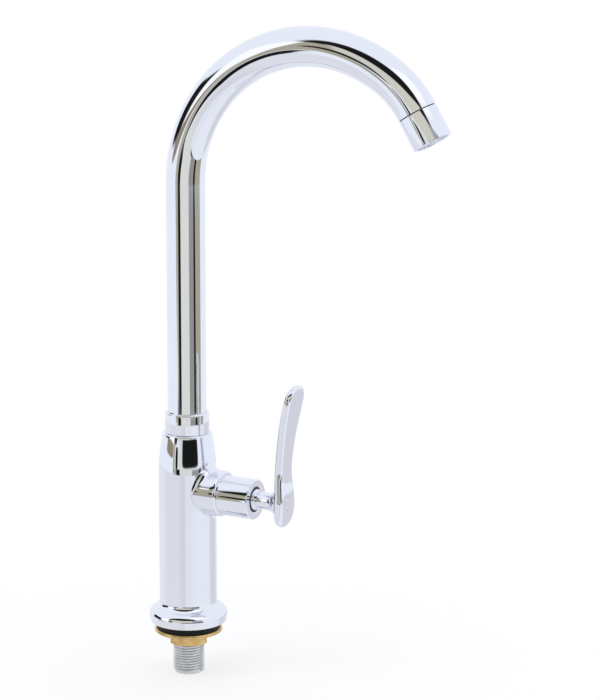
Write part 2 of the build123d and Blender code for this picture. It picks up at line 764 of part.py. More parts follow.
# Black bush between the bonnet and the lever's hub
with BuildPart() as hub_bush:
    with BuildSketch(valve_half):
        with BuildLine():
            Polyline(
                (bonnet_end_x - bush_setback, bush_inner_radius),
                (bonnet_end_x - bush_setback, bonnet_hole_radius - assembly_clearance),
                (bonnet_wall_x, bonnet_hole_radius - assembly_clearance),
                (bonnet_wall_x, bonnet_hole_radius + bush_lip),
                (bonnet_wall_x - bush_lip, bonnet_hole_radius + bush_lip),
                (bonnet_wall_x - bush_lip, bush_inner_radius),
                close=True,
            )
        make_face()
    revolve(axis=valve_axis)
hub_bush.part.label = "hub_bush"
export_step(hub_bush.part, "parts/hub_bush.step")

# Lever: blade from a side shape and a front outline, with a waisted round hub
with BuildPart() as lever_handle:
    with BuildSketch(Plane.XZ.offset(-2 * lever_foot_radius)):
        with BuildLine():
            foot_x = lever_hub_x + lever_foot_lean
            waist_x = lever_hub_x + lever_waist_lean
            middle_x = lever_hub_x + lever_middle_lean
            tip_x = lever_hub_x + lever_tip_lean
            back = Spline(
                (foot_x - lever_half_thickness, lever_bottom_z - lever_half_thickness),
                (lever_back_x, valve_z),
                (waist_x - lever_half_thickness, lever_waist_z),
                (middle_x - lever_half_thickness, lever_middle_z),
                (tip_x - lever_tip_half_thickness, lever_top_z + lever_half_thickness),
            )
            front = Spline(
                (foot_x + lever_half_thickness + lever_foot_bulge, lever_bottom_z - lever_half_thickness),
                (lever_front_x, valve_z),
                (waist_x + lever_half_thickness, lever_waist_z),
                (middle_x + lever_half_thickness, lever_middle_z),
                (tip_x + lever_tip_half_thickness, lever_top_z + lever_half_thickness),
            )
            Line(back @ 0, front @ 0)
            Line(back @ 1, front @ 1)
        make_face()
    extrude(amount=4 * lever_foot_radius)
    with BuildSketch(Plane.YZ):
        with BuildLine():
            right = Spline(
                (lever_foot_radius, lever_foot_centre_z),
                (lever_waist_half_width, lever_waist_z),
                (lever_top_radius, lever_top_centre_z),
                tangents=((0, 1), (0, 1)),
            )
            left = Spline(
                (-lever_foot_radius, lever_foot_centre_z),
                (-lever_waist_half_width, lever_waist_z),
                (-lever_top_radius, lever_top_centre_z),
                tangents=((0, 1), (0, 1)),
            )
            ThreePointArc(left @ 0, (0, lever_bottom_z), right @ 0)
            ThreePointArc(left @ 1, (0, lever_top_z), right @ 1)
        make_face()
    extrude(amount=tip_x + lever_standoff, mode=Mode.INTERSECT)
    rim = lever_handle.edges().filter_by(lambda e: abs(e.tangent_at(0.5).X) < 0.9)
    fillet(rim, lever_edge_round)
    with BuildSketch(valve_half):
        with BuildLine():
            hub_outer = Line((hub_start_x, hub_radius), (bonnet_end_x + hub_shoulder, hub_radius))
            hub_curve = Spline(
                hub_outer @ 1,
                (hub_waist_x, hub_waist_radius),
                (lever_back_x, hub_waist_radius + hub_flare),
                tangents=((1, -0.2), (1, 1.2)),
            )
            Polyline(
                hub_curve @ 1,
                (lever_hub_x, hub_waist_radius + hub_flare),
                (lever_hub_x, 0),
                (hub_start_x, 0),
                hub_outer @ 0,
            )
        make_face()
    revolve(axis=valve_axis)
    with BuildSketch(valve_plane.offset(hub_start_x)):
        Circle(hub_bore_radius)
    extrude(amount=spindle_end_x - hub_start_x, mode=Mode.SUBTRACT)
    with BuildSketch(valve_plane.offset(spindle_end_x)):
        Circle(screw_shank_radius + free_clearance)
    extrude(amount=screw_seat_x - spindle_end_x, mode=Mode.SUBTRACT)
    with BuildSketch(valve_plane.offset(screw_seat_x)):
        Circle(cap_radius + assembly_clearance)
    extrude(amount=lever_front_x + cap_thickness - screw_seat_x, mode=Mode.SUBTRACT)
lever_handle.part.label = "lever_handle"
export_step(lever_handle.part, "parts/lever_handle.step")

# Screw that holds the lever on the spindle, with a hexagon socket
with BuildPart() as handle_screw:
    with BuildSketch(valve_plane.offset(screw_start_x)):
        Circle(screw_shank_radius)
    extrude(amount=screw_length)
    with BuildSketch(valve_plane.offset(screw_seat_x)):
        Circle(screw_head_radius)
    extrude(amount=screw_head_height)
    with BuildSketch(valve_plane.offset(screw_seat_x + screw_head_height / 3)):
        RegularPolygon(screw_socket / 2, 6, major_radius=False)
    extrude(amount=screw_head_height, mode=Mode.SUBTRACT)
handle_screw.part.label = "handle_screw"
export_step(handle_screw.part, "parts/handle_screw.step")

# Round index cap, flush in the lever's front
with BuildPart() as index_cap:
    with BuildSketch(valve_plane.offset(cap_back_x)):
        Circle(cap_radius)
    extrude(amount=cap_thickness + cap_crown)
    fillet(index_cap.edges().filter_by(GeomType.CIRCLE).sort_by(Axis.X)[-1], cap_edge_round)
index_cap.part.label = "index_cap"
export_step(index_cap.part, "parts/index_cap.step")
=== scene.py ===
"""Chrome pillar tap with a swan-neck spout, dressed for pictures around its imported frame."""

import logging
import math
from dataclasses import dataclass
from enum import Enum
from functools import partial
from typing import Callable, Iterable, Optional, Union

import bmesh
import bpy
from mathutils import Matrix, Vector


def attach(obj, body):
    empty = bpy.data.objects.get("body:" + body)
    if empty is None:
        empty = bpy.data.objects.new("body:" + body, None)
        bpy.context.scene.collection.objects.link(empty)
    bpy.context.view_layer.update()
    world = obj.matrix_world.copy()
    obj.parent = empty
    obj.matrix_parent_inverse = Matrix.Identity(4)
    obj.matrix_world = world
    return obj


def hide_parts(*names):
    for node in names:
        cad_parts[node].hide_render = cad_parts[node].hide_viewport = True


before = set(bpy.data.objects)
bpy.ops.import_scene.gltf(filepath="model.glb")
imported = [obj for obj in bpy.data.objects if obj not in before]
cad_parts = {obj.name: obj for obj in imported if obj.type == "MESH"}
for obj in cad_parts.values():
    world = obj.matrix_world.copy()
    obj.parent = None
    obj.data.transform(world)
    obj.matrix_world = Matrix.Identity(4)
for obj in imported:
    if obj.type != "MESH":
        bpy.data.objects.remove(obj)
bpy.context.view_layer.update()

LOG = logging.getLogger("pillar_tap")
MM = 0.001
MERGE_MM = 1e-4
NEAR_MM = 1e-3
ROUND_SEGMENTS = 8
CLOUD_SHARE = 0.08
CLOUD_RANGE = (0.3, 0.7)
TINT_RANGE = (0.35, 0.65)
RING_SPREAD = 6.3
PURE_WHITE = (1.0, 1.0, 1.0, 1.0)
Point = tuple[float, float]
Colour = Union[bpy.types.NodeSocket, tuple[float, float, float, float]]


def linear(hex_colour: str) -> tuple[float, float, float, float]:
    """Turns an sRGB hex colour into linear light.

    Args:
        hex_colour: colour as six hex digits after a hash sign.

    Returns:
        Red, green, blue and an alpha of 1.
    """
    channels = [int(hex_colour[i : i + 2], 16) / 255 for i in (1, 3, 5)]
    red, green, blue = (c / 12.92 if c <= 0.04045 else ((c + 0.055) / 1.055) ** 2.4 for c in channels)
    return red, green, blue, 1.0


def add_node(
    tree: bpy.types.NodeTree, kind: str, inputs: Optional[dict] = None, **settings: object
) -> bpy.types.Node:
    """Adds one shader node with its settings and links.

    Args:
        tree: node tree that gets the node.
        kind: node type without its ShaderNode prefix.
        inputs: values or feeding sockets by input name or number.
        settings: other properties of the node.

    Returns:
        The new node.
    """
    made = tree.nodes.new("ShaderNode" + kind)
    for name, value in settings.items():
        setattr(made, name, value)
    for key, value in (inputs or {}).items():
        if isinstance(value, bpy.types.NodeSocket):
            tree.links.new(value, made.inputs[key])
        else:
            made.inputs[key].default_value = value
    return made


def set_stops(ramp: bpy.types.ColorRamp, stops: Iterable[tuple[float, tuple[float, ...]]]) -> None:
    """Fills a colour ramp.

    Args:
        ramp: the ramp to fill.
        stops: pairs of place from 0 to 1 and linear colour, in rising order.
    """
    stops = list(stops)
    while len(ramp.elements) < len(stops):
        ramp.elements.new(1.0)
    for element, (place, colour) in zip(ramp.elements, stops):
        element.position = place
        element.color = colour


class Surface(Enum):
    """How a surface was made."""

    POLISHED = "polished plating"
    TURNED = "turned metal"
    MOULDED = "moulded plastic or rubber"


@dataclass(frozen=True)
class Finish:
    """One material: what it is, and what that gives the eye."""

    name: str
    colour: str
    shade: str
    surface: Surface
    metallic: float
    roughness: tuple[float, float]
    grain_mm: float
    depth_mm: float
    specular: float = 0.5

    def material(self) -> bpy.types.Material:
        """Builds the material, once for the whole scene.

        Returns:
            The material, with its pattern on object coordinates.
        """
        known = bpy.data.materials.get(self.name)
        if known:
            return known
        made = bpy.data.materials.new(self.name)
        made.use_nodes = True
        tree = made.node_tree
        shader = tree.nodes["Principled BSDF"]
        shader.inputs["Metallic"].default_value = self.metallic
        shader.inputs["Specular IOR Level"].default_value = self.specular
        place = add_node(tree, "TexCoord").outputs["Object"]
        grain = add_node(
            tree,
            "TexNoise",
            {"Vector": place, "Scale": 1 / (self.grain_mm * MM), "Detail": 4.0, "Roughness": 0.55},
        )
        cloud = add_node(
            tree,
            "TexNoise",
            {"Vector": place, "Scale": CLOUD_SHARE / (self.grain_mm * MM), "Detail": 3.0, "Roughness": 0.6},
        )
        height = grain.outputs["Fac"]
        if self.surface is Surface.TURNED:
            rings = add_node(
                tree,
                "TexWave",
                {
                    "Vector": place,
                    "Scale": 1 / (RING_SPREAD * self.grain_mm * MM),
                    "Distortion": 0.6,
                    "Detail": 1.0,
                },
                wave_type="RINGS",
                rings_direction="Z",
            )
            height = rings.outputs["Fac"]
        patchy = add_node(
            tree,
            "MapRange",
            {
                "Value": cloud.outputs["Fac"],
                "From Min": CLOUD_RANGE[0],
                "From Max": CLOUD_RANGE[1],
                "To Min": self.roughness[0],
                "To Max": self.roughness[1],
            },
        )
        tree.links.new(patchy.outputs["Result"], shader.inputs["Roughness"])
        tint = add_node(tree, "ValToRGB", {"Fac": cloud.outputs["Fac"]})
        set_stops(tint.color_ramp, zip(TINT_RANGE, (linear(self.shade), linear(self.colour))))
        tree.links.new(tint.outputs["Color"], shader.inputs["Base Color"])
        bump = add_node(tree, "Bump", {"Height": height, "Distance": self.depth_mm * MM, "Strength": 1.0})
        tree.links.new(bump.outputs["Normal"], shader.inputs["Normal"])
        return made


# Bright chrome over polished brass: a mirror with a cold cast and the faint ripple of the buffing wheel
CHROME = Finish(
    "bright_chrome_plate", "#E8EAF1", "#E5E8F0", Surface.POLISHED, 1.0, (0.025, 0.05), 6.0, 0.0006
)
# Nickel-plated brass thread, cut and barrel-plated: satin grey, brighter on the crests
NICKEL = Finish("nickel_plated_thread", "#E2E3E4", "#CDCFD1", Surface.POLISHED, 1.0, (0.16, 0.28), 0.5, 0.003)
# Turned and stamped yellow brass, unlacquered: warm gold with fine tool marks and dull patches
BRASS = Finish("turned_yellow_brass", "#DDBE84", "#C4A062", Surface.TURNED, 1.0, (0.12, 0.22), 0.35, 0.0012)
# Bright drawn stainless steel, for the small inner parts
STEEL = Finish("drawn_stainless_steel", "#C6C8CA", "#B2B5B8", Surface.TURNED, 1.0, (0.22, 0.34), 0.2, 0.002)
# Moulded nitrile rubber: near black, dull, with a fine skin
RUBBER = Finish(
    "moulded_nitrile_rubber", "#0D0E0D", "#080908", Surface.MOULDED, 0.0, (0.42, 0.58), 0.35, 0.01, 0.25
)
# Injection-moulded black acetal: black with a soft shine
ACETAL = Finish("moulded_black_acetal", "#131314", "#0E0E0F", Surface.MOULDED, 0.0, (0.28, 0.40), 0.4, 0.004)
# Injection-moulded grey acetal of the aerator core: even grey, slightly chalky with scale
GREY_PLASTIC = Finish(
    "moulded_grey_acetal", "#8A8D8F", "#75797B", Surface.MOULDED, 0.0, (0.38, 0.52), 0.4, 0.006
)
# Moulded natural nylon: milky white
NYLON = Finish("moulded_natural_nylon", "#E4E2DA", "#D8D5CB", Surface.MOULDED, 0.0, (0.35, 0.48), 0.4, 0.005)
# Lapped alumina ceramic: dense white, almost polished
CERAMIC = Finish("lapped_alumina", "#ECEAE4", "#E2E0D9", Surface.MOULDED, 0.0, (0.12, 0.20), 0.3, 0.001)


def lathe(profile: list[Point], steps: int, closed: bool = True) -> bmesh.types.BMesh:
    """Turns a profile about the local Z axis.

    Args:
        profile: pairs of radius and height, in mm.
        steps: faces round the turn.
        closed: whether the last point joins the first; an open profile ends on the axis.

    Returns:
        The turned mesh, with its faces outwards.
    """
    bm = bmesh.new()
    verts = [bm.verts.new((radius, 0, height)) for radius, height in profile]
    ends = verts[1:] + verts[:1] if closed else verts[1:]
    edges = [bm.edges.new(pair) for pair in zip(verts, ends)]
    bmesh.ops.spin(
        bm, geom=verts + edges, cent=(0, 0, 0), axis=(0, 0, 1), angle=2 * math.pi, steps=steps, use_merge=True
    )
    bmesh.ops.remove_doubles(bm, verts=bm.verts, dist=MERGE_MM)
    bmesh.ops.recalc_face_normals(bm, faces=bm.faces)
    return bm


def round_ring(bm: bmesh.types.BMesh, radius: float, height: float, size: float) -> None:
    """Rounds one circular edge of a turned mesh.

    Args:
        bm: mesh turned about Z.
        radius: radius of the edge in mm.
        height: height of the edge in mm.
        size: radius of the rounding in mm.
    """
    ring = [
        e
        for e in bm.edges
        if all(max(abs(v.co.xy.length - radius), abs(v.co.z - height)) < NEAR_MM for v in e.verts)
    ]
    bmesh.ops.bevel(
        bm, geom=ring, offset=size, segments=ROUND_SEGMENTS, profile=0.5, affect="EDGES", material=-1
    )


def arc(centre: Point, radius: float, start: float, end: float, count: int) -> list[Point]:
    """Points along a circular arc.

    Args:
        centre: centre of the arc.
        radius: its radius.
        start: first angle in degrees.
        end: last angle in degrees.
        count: number of points.

    Returns:
        The points in order, both ends included.
    """
    turns = [math.radians(start + (end - start) * i / (count - 1)) for i in range(count)]
    return [(centre[0] + radius * math.cos(t), centre[1] + radius * math.sin(t)) for t in turns]


def make_piece(
    bm: bmesh.types.BMesh, name: str, finish: Finish, body: str, node: str, crease: float = 30.0
) -> bpy.types.Object:
    """Turns a mesh in mm into a piece that stands for a node of the frame.

    Args:
        bm: the mesh, which is used up.
        name: name of the piece.
        finish: its material.
        body: body that it rides on.
        node: node that it stands for.
        crease: angle in degrees above which an edge stays sharp.

    Returns:
        The piece.
    """
    bmesh.ops.scale(bm, vec=(MM, MM, MM), verts=bm.verts)
    mesh = bpy.data.meshes.new(name)
    bm.to_mesh(mesh)
    bm.free()
    mesh.shade_smooth()
    mesh.set_sharp_from_angle(angle=math.radians(crease))
    mesh.materials.append(finish.material())
    piece = bpy.data.objects.new(name, mesh)
    bpy.context.scene.collection.objects.link(piece)
    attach(piece, body)
    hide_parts(node)
    LOG.info("built %s for %s: %d faces", name, node, len(mesh.polygons))
    return piece


def dress(finish: Finish, *nodes: str) -> None:
    """Gives nodes that keep their shape a finish.

    Args:
        finish: the material.
        nodes: names of the nodes.
    """
    for name in nodes:
        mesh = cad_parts[name].data
        mesh.materials.clear()
        mesh.materials.append(finish.material())
        LOG.info("dressed %s in %s", name, finish.name)


@dataclass
class BodyCasting:
    """Body of the tap: foot, barrel, shoulder and the side boss, with its blind bores. Sizes in mm."""

    flange_radius: float = 26.0
    foot_edge_radius: float = 25.15
    foot_edge_round: float = 0.8
    crown_radius: float = 6.0
    crown_z: float = 4.4
    crease_rise: float = 0.9
    foot_fillet: float = 5.0
    recess_radius: float = 21.85
    recess_depth: float = 1.5
    shank_radius: float = 10.4775
    shank_top_z: float = 17.5
    barrel: float = 19.0
    shoulder_z: float = 97.2
    top_radius: float = 16.15
    top_z: float = 128.2
    top_round: float = 0.9
    collar_bore: float = 14.0
    collar_bore_z: float = 114.2
    tail_bore: float = 10.45
    tail_bore_z: float = 101.7
    valve_z: float = 88.7
    boss_z: float = 89.6
    boss_radius: float = 15.1
    boss_end: float = 28.2
    boss_fillet: float = 5.0
    lip_round: float = 1.7
    mouth_radius: float = 11.0
    mouth_start: float = 19.6
    pocket_radius: float = 10.0
    pocket_start: float = 2.0
    barrel_ring_z: float = 40.0
    window_half: float = 22.0
    wall_clear: float = 1.0
    probe: float = 0.01
    crease_deg: float = 14.0
    steps: int = 144
    window_steps: int = 27
    window_rows: int = 22
    shoulder_rows: int = 8
    crown_points: int = 17
    hollow_points: int = 13
    barrel_rings: int = 8
    fillet_rings: int = 12
    boss_rings: int = 4
    lip_points: int = 9

    def barrel_radius(self, z: float) -> float:
        """Radius of the barrel and shoulder at a height.

        Args:
            z: height in mm.

        Returns:
            The radius in mm.
        """
        fall, rise = self.barrel - self.top_radius, self.top_z - self.shoulder_z
        bow = (fall**2 + rise**2) / (2 * fall)
        over = max(z - self.shoulder_z, 0.0)
        return self.barrel - bow + math.sqrt(bow**2 - over**2)

    def barrel_x(self, y: float, z: float) -> float:
        """How far the barrel's face stands out along X at a place seen from the boss."""
        return math.sqrt(max(self.barrel_radius(z) ** 2 - y**2, 0.0))

    def profile(self) -> list[Point]:
        """Half section of the casting without its boss.

        Returns:
            Pairs of radius and height, from the shank's socket round to the spout's socket.
        """
        crown = (self.flange_radius - self.crown_radius, self.crown_z)
        hollow_radius = self.barrel + self.foot_fillet
        reach = self.crown_radius + self.foot_fillet
        hollow = (hollow_radius, self.crown_z + math.sqrt(reach**2 - (hollow_radius - crown[0]) ** 2))
        low = math.degrees(math.asin(self.crease_rise / self.crown_radius))
        high = math.degrees(math.atan2(hollow[1] - crown[1], hollow[0] - crown[0]))
        rows = range(self.window_rows + 1)
        window = [self.boss_z + self.window_half * (2 * i / self.window_rows - 1) for i in rows]
        rows = range(1, self.shoulder_rows)
        shoulder = [window[-1] + (self.top_z - window[-1]) * i / self.shoulder_rows for i in rows]
        return [
            (0, self.shank_top_z),
            (self.shank_radius, self.shank_top_z),
            (self.shank_radius, self.recess_depth),
            (self.recess_radius, self.recess_depth),
            (self.recess_radius, 0),
            (self.foot_edge_radius, 0),
            *arc(crown, self.crown_radius, low, high, self.crown_points),
            *arc(hollow, self.foot_fillet, 180 + high, 180, self.hollow_points)[1:],
            (self.barrel, self.barrel_ring_z),
            *((self.barrel_radius(z), z) for z in window + shoulder),
            (self.top_radius, self.top_z),
            (self.collar_bore, self.top_z),
            (self.collar_bore, self.collar_bore_z),
            (self.tail_bore, self.collar_bore_z),
            (self.tail_bore, self.tail_bore_z),
            (0, self.tail_bore_z),
        ]

    def boss_seat(self, turn: float) -> tuple[Vector, Vector, Vector]:
        """Where the fillet round the boss starts, bends and ends.

        Args:
            turn: angle round the boss's axis in radians.

        Returns:
            Start on the barrel, corner, and end on the boss, each as x and radius.
        """

        def reach(radius: float) -> float:
            """Place of the barrel's face along X at that radius from the boss's axis."""
            return self.barrel_x(radius * math.cos(turn), self.boss_z + radius * math.sin(turn))

        def slope(radius: float) -> float:
            """Slope of the barrel's face at that radius."""
            return (reach(radius + self.probe) - reach(radius - self.probe)) / (2 * self.probe)

        lean = slope(self.boss_radius)
        corner = math.acos(lean / math.hypot(1, lean))
        leg = self.boss_fillet * math.tan((math.pi - corner) / 2)
        outer = self.boss_radius + leg / math.hypot(1, lean)
        start = Vector((reach(outer), outer))
        bend = Vector((start.x + slope(outer) * (self.boss_radius - outer), self.boss_radius))
        return start, bend, Vector((reach(self.boss_radius) + leg, self.boss_radius))

    def around(self, turn: float, x: float, radius: float, centre_z: float) -> Vector:
        """Point at an angle, a distance along X and a radius from the boss's or valve's axis."""
        return Vector((x, radius * math.cos(turn), centre_z + radius * math.sin(turn)))

    def on_barrel(self, share: float, turn: float, side: float, z: float) -> Vector:
        """Point of a ring on the barrel, part of the way from the window to the fillet.

        Args:
            share: how far along the way, from 0 to 1.
            turn: angle round the boss's axis in radians.
            side: bearing of the window's edge in radians.
            z: height of the window's edge in mm.

        Returns:
            The point.
        """
        start = self.boss_seat(turn)[0]
        seat = self.around(turn, start.x, start.y, self.boss_z)
        angle = side + (math.atan2(seat.y, seat.x) - side) * share
        height = z + (seat.z - z) * share
        radius = self.barrel_radius(height)
        return Vector((radius * math.cos(angle), radius * math.sin(angle), height))

    def on_fillet(self, share: float, turn: float, *_edge: float) -> Vector:
        """Point of a ring on the fillet.

        Args:
            share: how far along the fillet, from 0 to 1.
            turn: angle round the boss's axis in radians.

        Returns:
            The point.
        """
        start, bend, end = self.boss_seat(turn)
        at = start * (1 - share) ** 2 + bend * (2 * share * (1 - share)) + end * share**2
        return self.around(turn, at.x, at.y, self.boss_z)

    def on_boss(self, share: float, turn: float, *_edge: float) -> Vector:
        """Point of a ring on the boss's straight part.

        Args:
            share: how far along the straight part, from 0 to 1.
            turn: angle round the boss's axis in radians.

        Returns:
            The point.
        """
        x = self.boss_seat(turn)[2].x
        x += (self.boss_end - self.lip_round - x) * share
        return self.around(turn, x, self.boss_radius, self.boss_z)

    def on_axis(self, x: float, radius: float, centre_z: float, turn: float, *_edge: float) -> Vector:
        """Point of a round ring square to the axis."""
        return self.around(turn, x, radius, centre_z)

    def boss_rows(self) -> list[Callable[..., Vector]]:
        """The rings that lead from the window in the barrel out along the boss and into its mouth.

        Returns:
            One function for each ring, from angle and window edge to a point.
        """
        rows = []
        for place, count in (
            (self.on_barrel, self.barrel_rings),
            (self.on_fillet, self.fillet_rings),
            (self.on_boss, self.boss_rings),
        ):
            rows += [partial(place, i / count) for i in range(1, count + 1)]
        lip_centre = (self.boss_end - self.lip_round, self.boss_radius - self.lip_round)
        lip = arc(lip_centre, self.lip_round, 90, 0, self.lip_points)
        rings = [(x, radius, self.boss_z) for x, radius in lip[1:]] + [
            (self.boss_end, self.mouth_radius, self.valve_z),
            (self.mouth_start, self.mouth_radius, self.valve_z),
            (self.mouth_start, self.pocket_radius, self.valve_z),
            (self.pocket_start, self.pocket_radius, self.valve_z),
        ]
        return rows + [partial(self.on_axis, *ring) for ring in rings]

    def build(self) -> bpy.types.Object:
        """Turns the casting, opens a window in the barrel and grows the boss out of it.

        Returns:
            The body.
        """
        bm = lathe(self.profile(), self.steps, closed=False)
        round_ring(bm, self.foot_edge_radius, 0, self.foot_edge_round)
        round_ring(bm, self.top_radius, self.top_z, self.top_round)
        half_angle = 2 * math.pi * self.window_steps / self.steps

        def in_window(face: bmesh.types.BMFace) -> bool:
            """Whether a face of the barrel lies in the window.

            Args:
                face: a face of the turned casting.

            Returns:
                True for an outer face in front of the boss.
            """
            centre = face.calc_center_median()
            outer = centre.xy.length > self.collar_bore + self.wall_clear
            side = abs(math.atan2(centre.y, centre.x)) < half_angle
            return outer and side and abs(centre.z - self.boss_z) < self.window_half

        bmesh.ops.delete(bm, geom=[f for f in bm.faces if in_window(f)], context="FACES")
        ring = [e for e in bm.edges if e.is_boundary]
        store = bm.verts.layers.float
        names = ("turn", "side", "height")
        for name in names:
            store.new(name)
        layers = [store[name] for name in names]
        for vert in {v for e in ring for v in e.verts}:
            side, height = math.atan2(vert.co.y, vert.co.x), vert.co.z
            turn = math.atan2((height - self.boss_z) / self.window_half, side / half_angle)
            for layer, value in zip(layers, (turn, side, height)):
                vert[layer] = value
        for place in self.boss_rows():
            grown = bmesh.ops.extrude_edge_only(bm, edges=ring)["geom"]
            for vert in (g for g in grown if isinstance(g, bmesh.types.BMVert)):
                vert.co = place(*(vert[layer] for layer in layers))
            ring = [g for g in grown if isinstance(g, bmesh.types.BMEdge) and g.is_boundary]
        bmesh.ops.holes_fill(bm, edges=ring, sides=0)
        for name in names:
            store.remove(store[name])
        bmesh.ops.recalc_face_normals(bm, faces=bm.faces)
        return make_piece(bm, "tap_body", CHROME, "base", "body", self.crease_deg)

    def dress(self) -> None:
        """Finishes the pieces inside the casting."""
        dress(RUBBER, "shank_seal", "seat_seal", "headwork_o_ring")


@dataclass
class SwanNeckSpout:
    """Bent tube, its collar and the aerator at its end. Sizes in mm, angles in degrees."""

    tube_radius: float = 12.7
    tube_wall: float = 1.0
    tube_bottom_z: float = 117.7
    bend_start_z: float = 291.8
    bend_radius: float = 91.6
    bend_sweep: float = 123.7
    end_radius: float = 67.5
    end_sweep: float = 25.3
    collar_radius: float = 14.55
    collar_socket: float = 13.95
    collar_hole: float = 12.75
    collar_foot_z: float = 119.7
    collar_seat_z: float = 128.2
    collar_top_z: float = 142.1
    collar_top_round: float = 1.0
    collar_foot_round: float = 0.4
    seam_width: float = 0.6
    aerator_length: float = 21.0
    aerator_bore: float = 10.8
    aerator_ledge: float = 7.4
    aerator_lip_round: float = 0.8
    seam_edge_round: float = 0.15
    spigot_radius: float = 9.95
    spigot_bore: float = 8.55
    spigot_length: float = 7.5
    steps: int = 96
    bend_steps: int = 112
    end_steps: int = 22

    def bend_centres(self) -> tuple[Vector, Vector]:
        """Centres of the two bends of the tube.

        Returns:
            Centre of the arch, and of the tighter bend at its end.
        """
        first = Vector((self.bend_radius, 0, self.bend_start_z))
        turn = math.radians(180 - self.bend_sweep)
        outward = Vector((math.cos(turn), 0, math.sin(turn)))
        return first, first + outward * (self.bend_radius - self.end_radius)

    def outlet(self) -> Matrix:
        """Place of the tube's end, with local Z along the water's way out.

        Returns:
            The matrix that carries a piece turned about Z to the outlet.
        """
        tilt = math.radians(180 - self.bend_sweep - self.end_sweep)
        end = self.bend_centres()[1] + Vector((math.cos(tilt), 0, math.sin(tilt))) * self.end_radius
        return Matrix.Translation(end) @ Matrix.Rotation(math.pi - tilt, 4, "Y")

    def build_tube(self) -> bpy.types.Object:
        """Draws the tube up the riser, round the arch and into its end.

        Returns:
            The tube.
        """
        bm = bmesh.new()
        foot = Matrix.Translation((0, 0, self.tube_bottom_z))
        bmesh.ops.create_circle(bm, segments=self.steps, radius=self.tube_radius, matrix=foot)
        last = list(bm.edges)
        grown = bmesh.ops.extrude_edge_only(bm, edges=last)["geom"]
        verts = [g for g in grown if isinstance(g, bmesh.types.BMVert)]
        bmesh.ops.translate(bm, vec=(0, 0, self.bend_start_z - self.tube_bottom_z), verts=verts)
        rim = [g for g in grown if isinstance(g, bmesh.types.BMEdge) and all(v in verts for v in g.verts)]
        last = verts + rim
        bends = ((self.bend_sweep, self.bend_steps), (self.end_sweep, self.end_steps))
        for centre, (sweep, steps) in zip(self.bend_centres(), bends):
            last = bmesh.ops.spin(
                bm, geom=last, cent=centre, axis=(0, 1, 0), angle=math.radians(sweep), steps=steps
            )["geom_last"]
        bmesh.ops.remove_doubles(bm, verts=bm.verts, dist=MERGE_MM)
        bmesh.ops.recalc_face_normals(bm, faces=bm.faces)
        bmesh.ops.solidify(bm, geom=bm.faces, thickness=self.tube_wall)
        return make_piece(bm, "swan_neck_tube", CHROME, "spout", "spout_tube")

    def build_collar(self) -> bpy.types.Object:
        """Turns the collar that holds the spout down.

        Returns:
            The collar.
        """
        bm = lathe(
            [
                (self.collar_hole, self.collar_foot_z),
                (self.collar_socket, self.collar_foot_z),
                (self.collar_socket, self.collar_seat_z),
                (self.collar_radius, self.collar_seat_z),
                (self.collar_radius, self.collar_top_z),
                (self.collar_hole, self.collar_top_z),
            ],
            self.steps,
        )
        round_ring(bm, self.collar_radius, self.collar_top_z, self.collar_top_round)
        round_ring(bm, self.collar_radius, self.collar_seat_z, self.collar_foot_round)
        return make_piece(bm, "spout_collar_ring", CHROME, "base", "spout_collar")

    def build_aerator(self) -> bpy.types.Object:
        """Turns the aerator's sleeve in line with the tube's end.

        Returns:
            The sleeve.
        """
        bm = lathe(
            [
                (self.spigot_bore, -self.spigot_length),
                (self.spigot_radius, -self.spigot_length),
                (self.spigot_radius, self.seam_width),
                (self.tube_radius, self.seam_width),
                (self.tube_radius, self.aerator_length),
                (self.aerator_bore, self.aerator_length),
                (self.aerator_bore, self.aerator_ledge),
                (self.spigot_bore, self.aerator_ledge),
            ],
            self.steps,
        )
        round_ring(bm, self.tube_radius, self.aerator_length, self.aerator_lip_round)
        round_ring(bm, self.aerator_bore, self.aerator_length, self.aerator_lip_round)
        round_ring(bm, self.tube_radius, self.seam_width, self.seam_edge_round)
        bmesh.ops.transform(bm, matrix=self.outlet(), verts=bm.verts)
        return make_piece(bm, "aerator_sleeve", CHROME, "spout", "aerator_housing")

    def build(self) -> None:
        """Builds the tube, the collar and the aerator's sleeve."""
        self.build_tube()
        self.build_collar()
        self.build_aerator()

    def dress(self) -> None:
        """Finishes the pieces of the spout that keep their shape."""
        dress(BRASS, "spout_tail", "outlet_bush")
        dress(RUBBER, "spout_o_ring_upper", "spout_o_ring_lower", "aerator_seal")
        dress(NYLON, "spout_glide_ring")
        dress(STEEL, "aerator_screen")
        dress(GREY_PLASTIC, "aerator_insert")


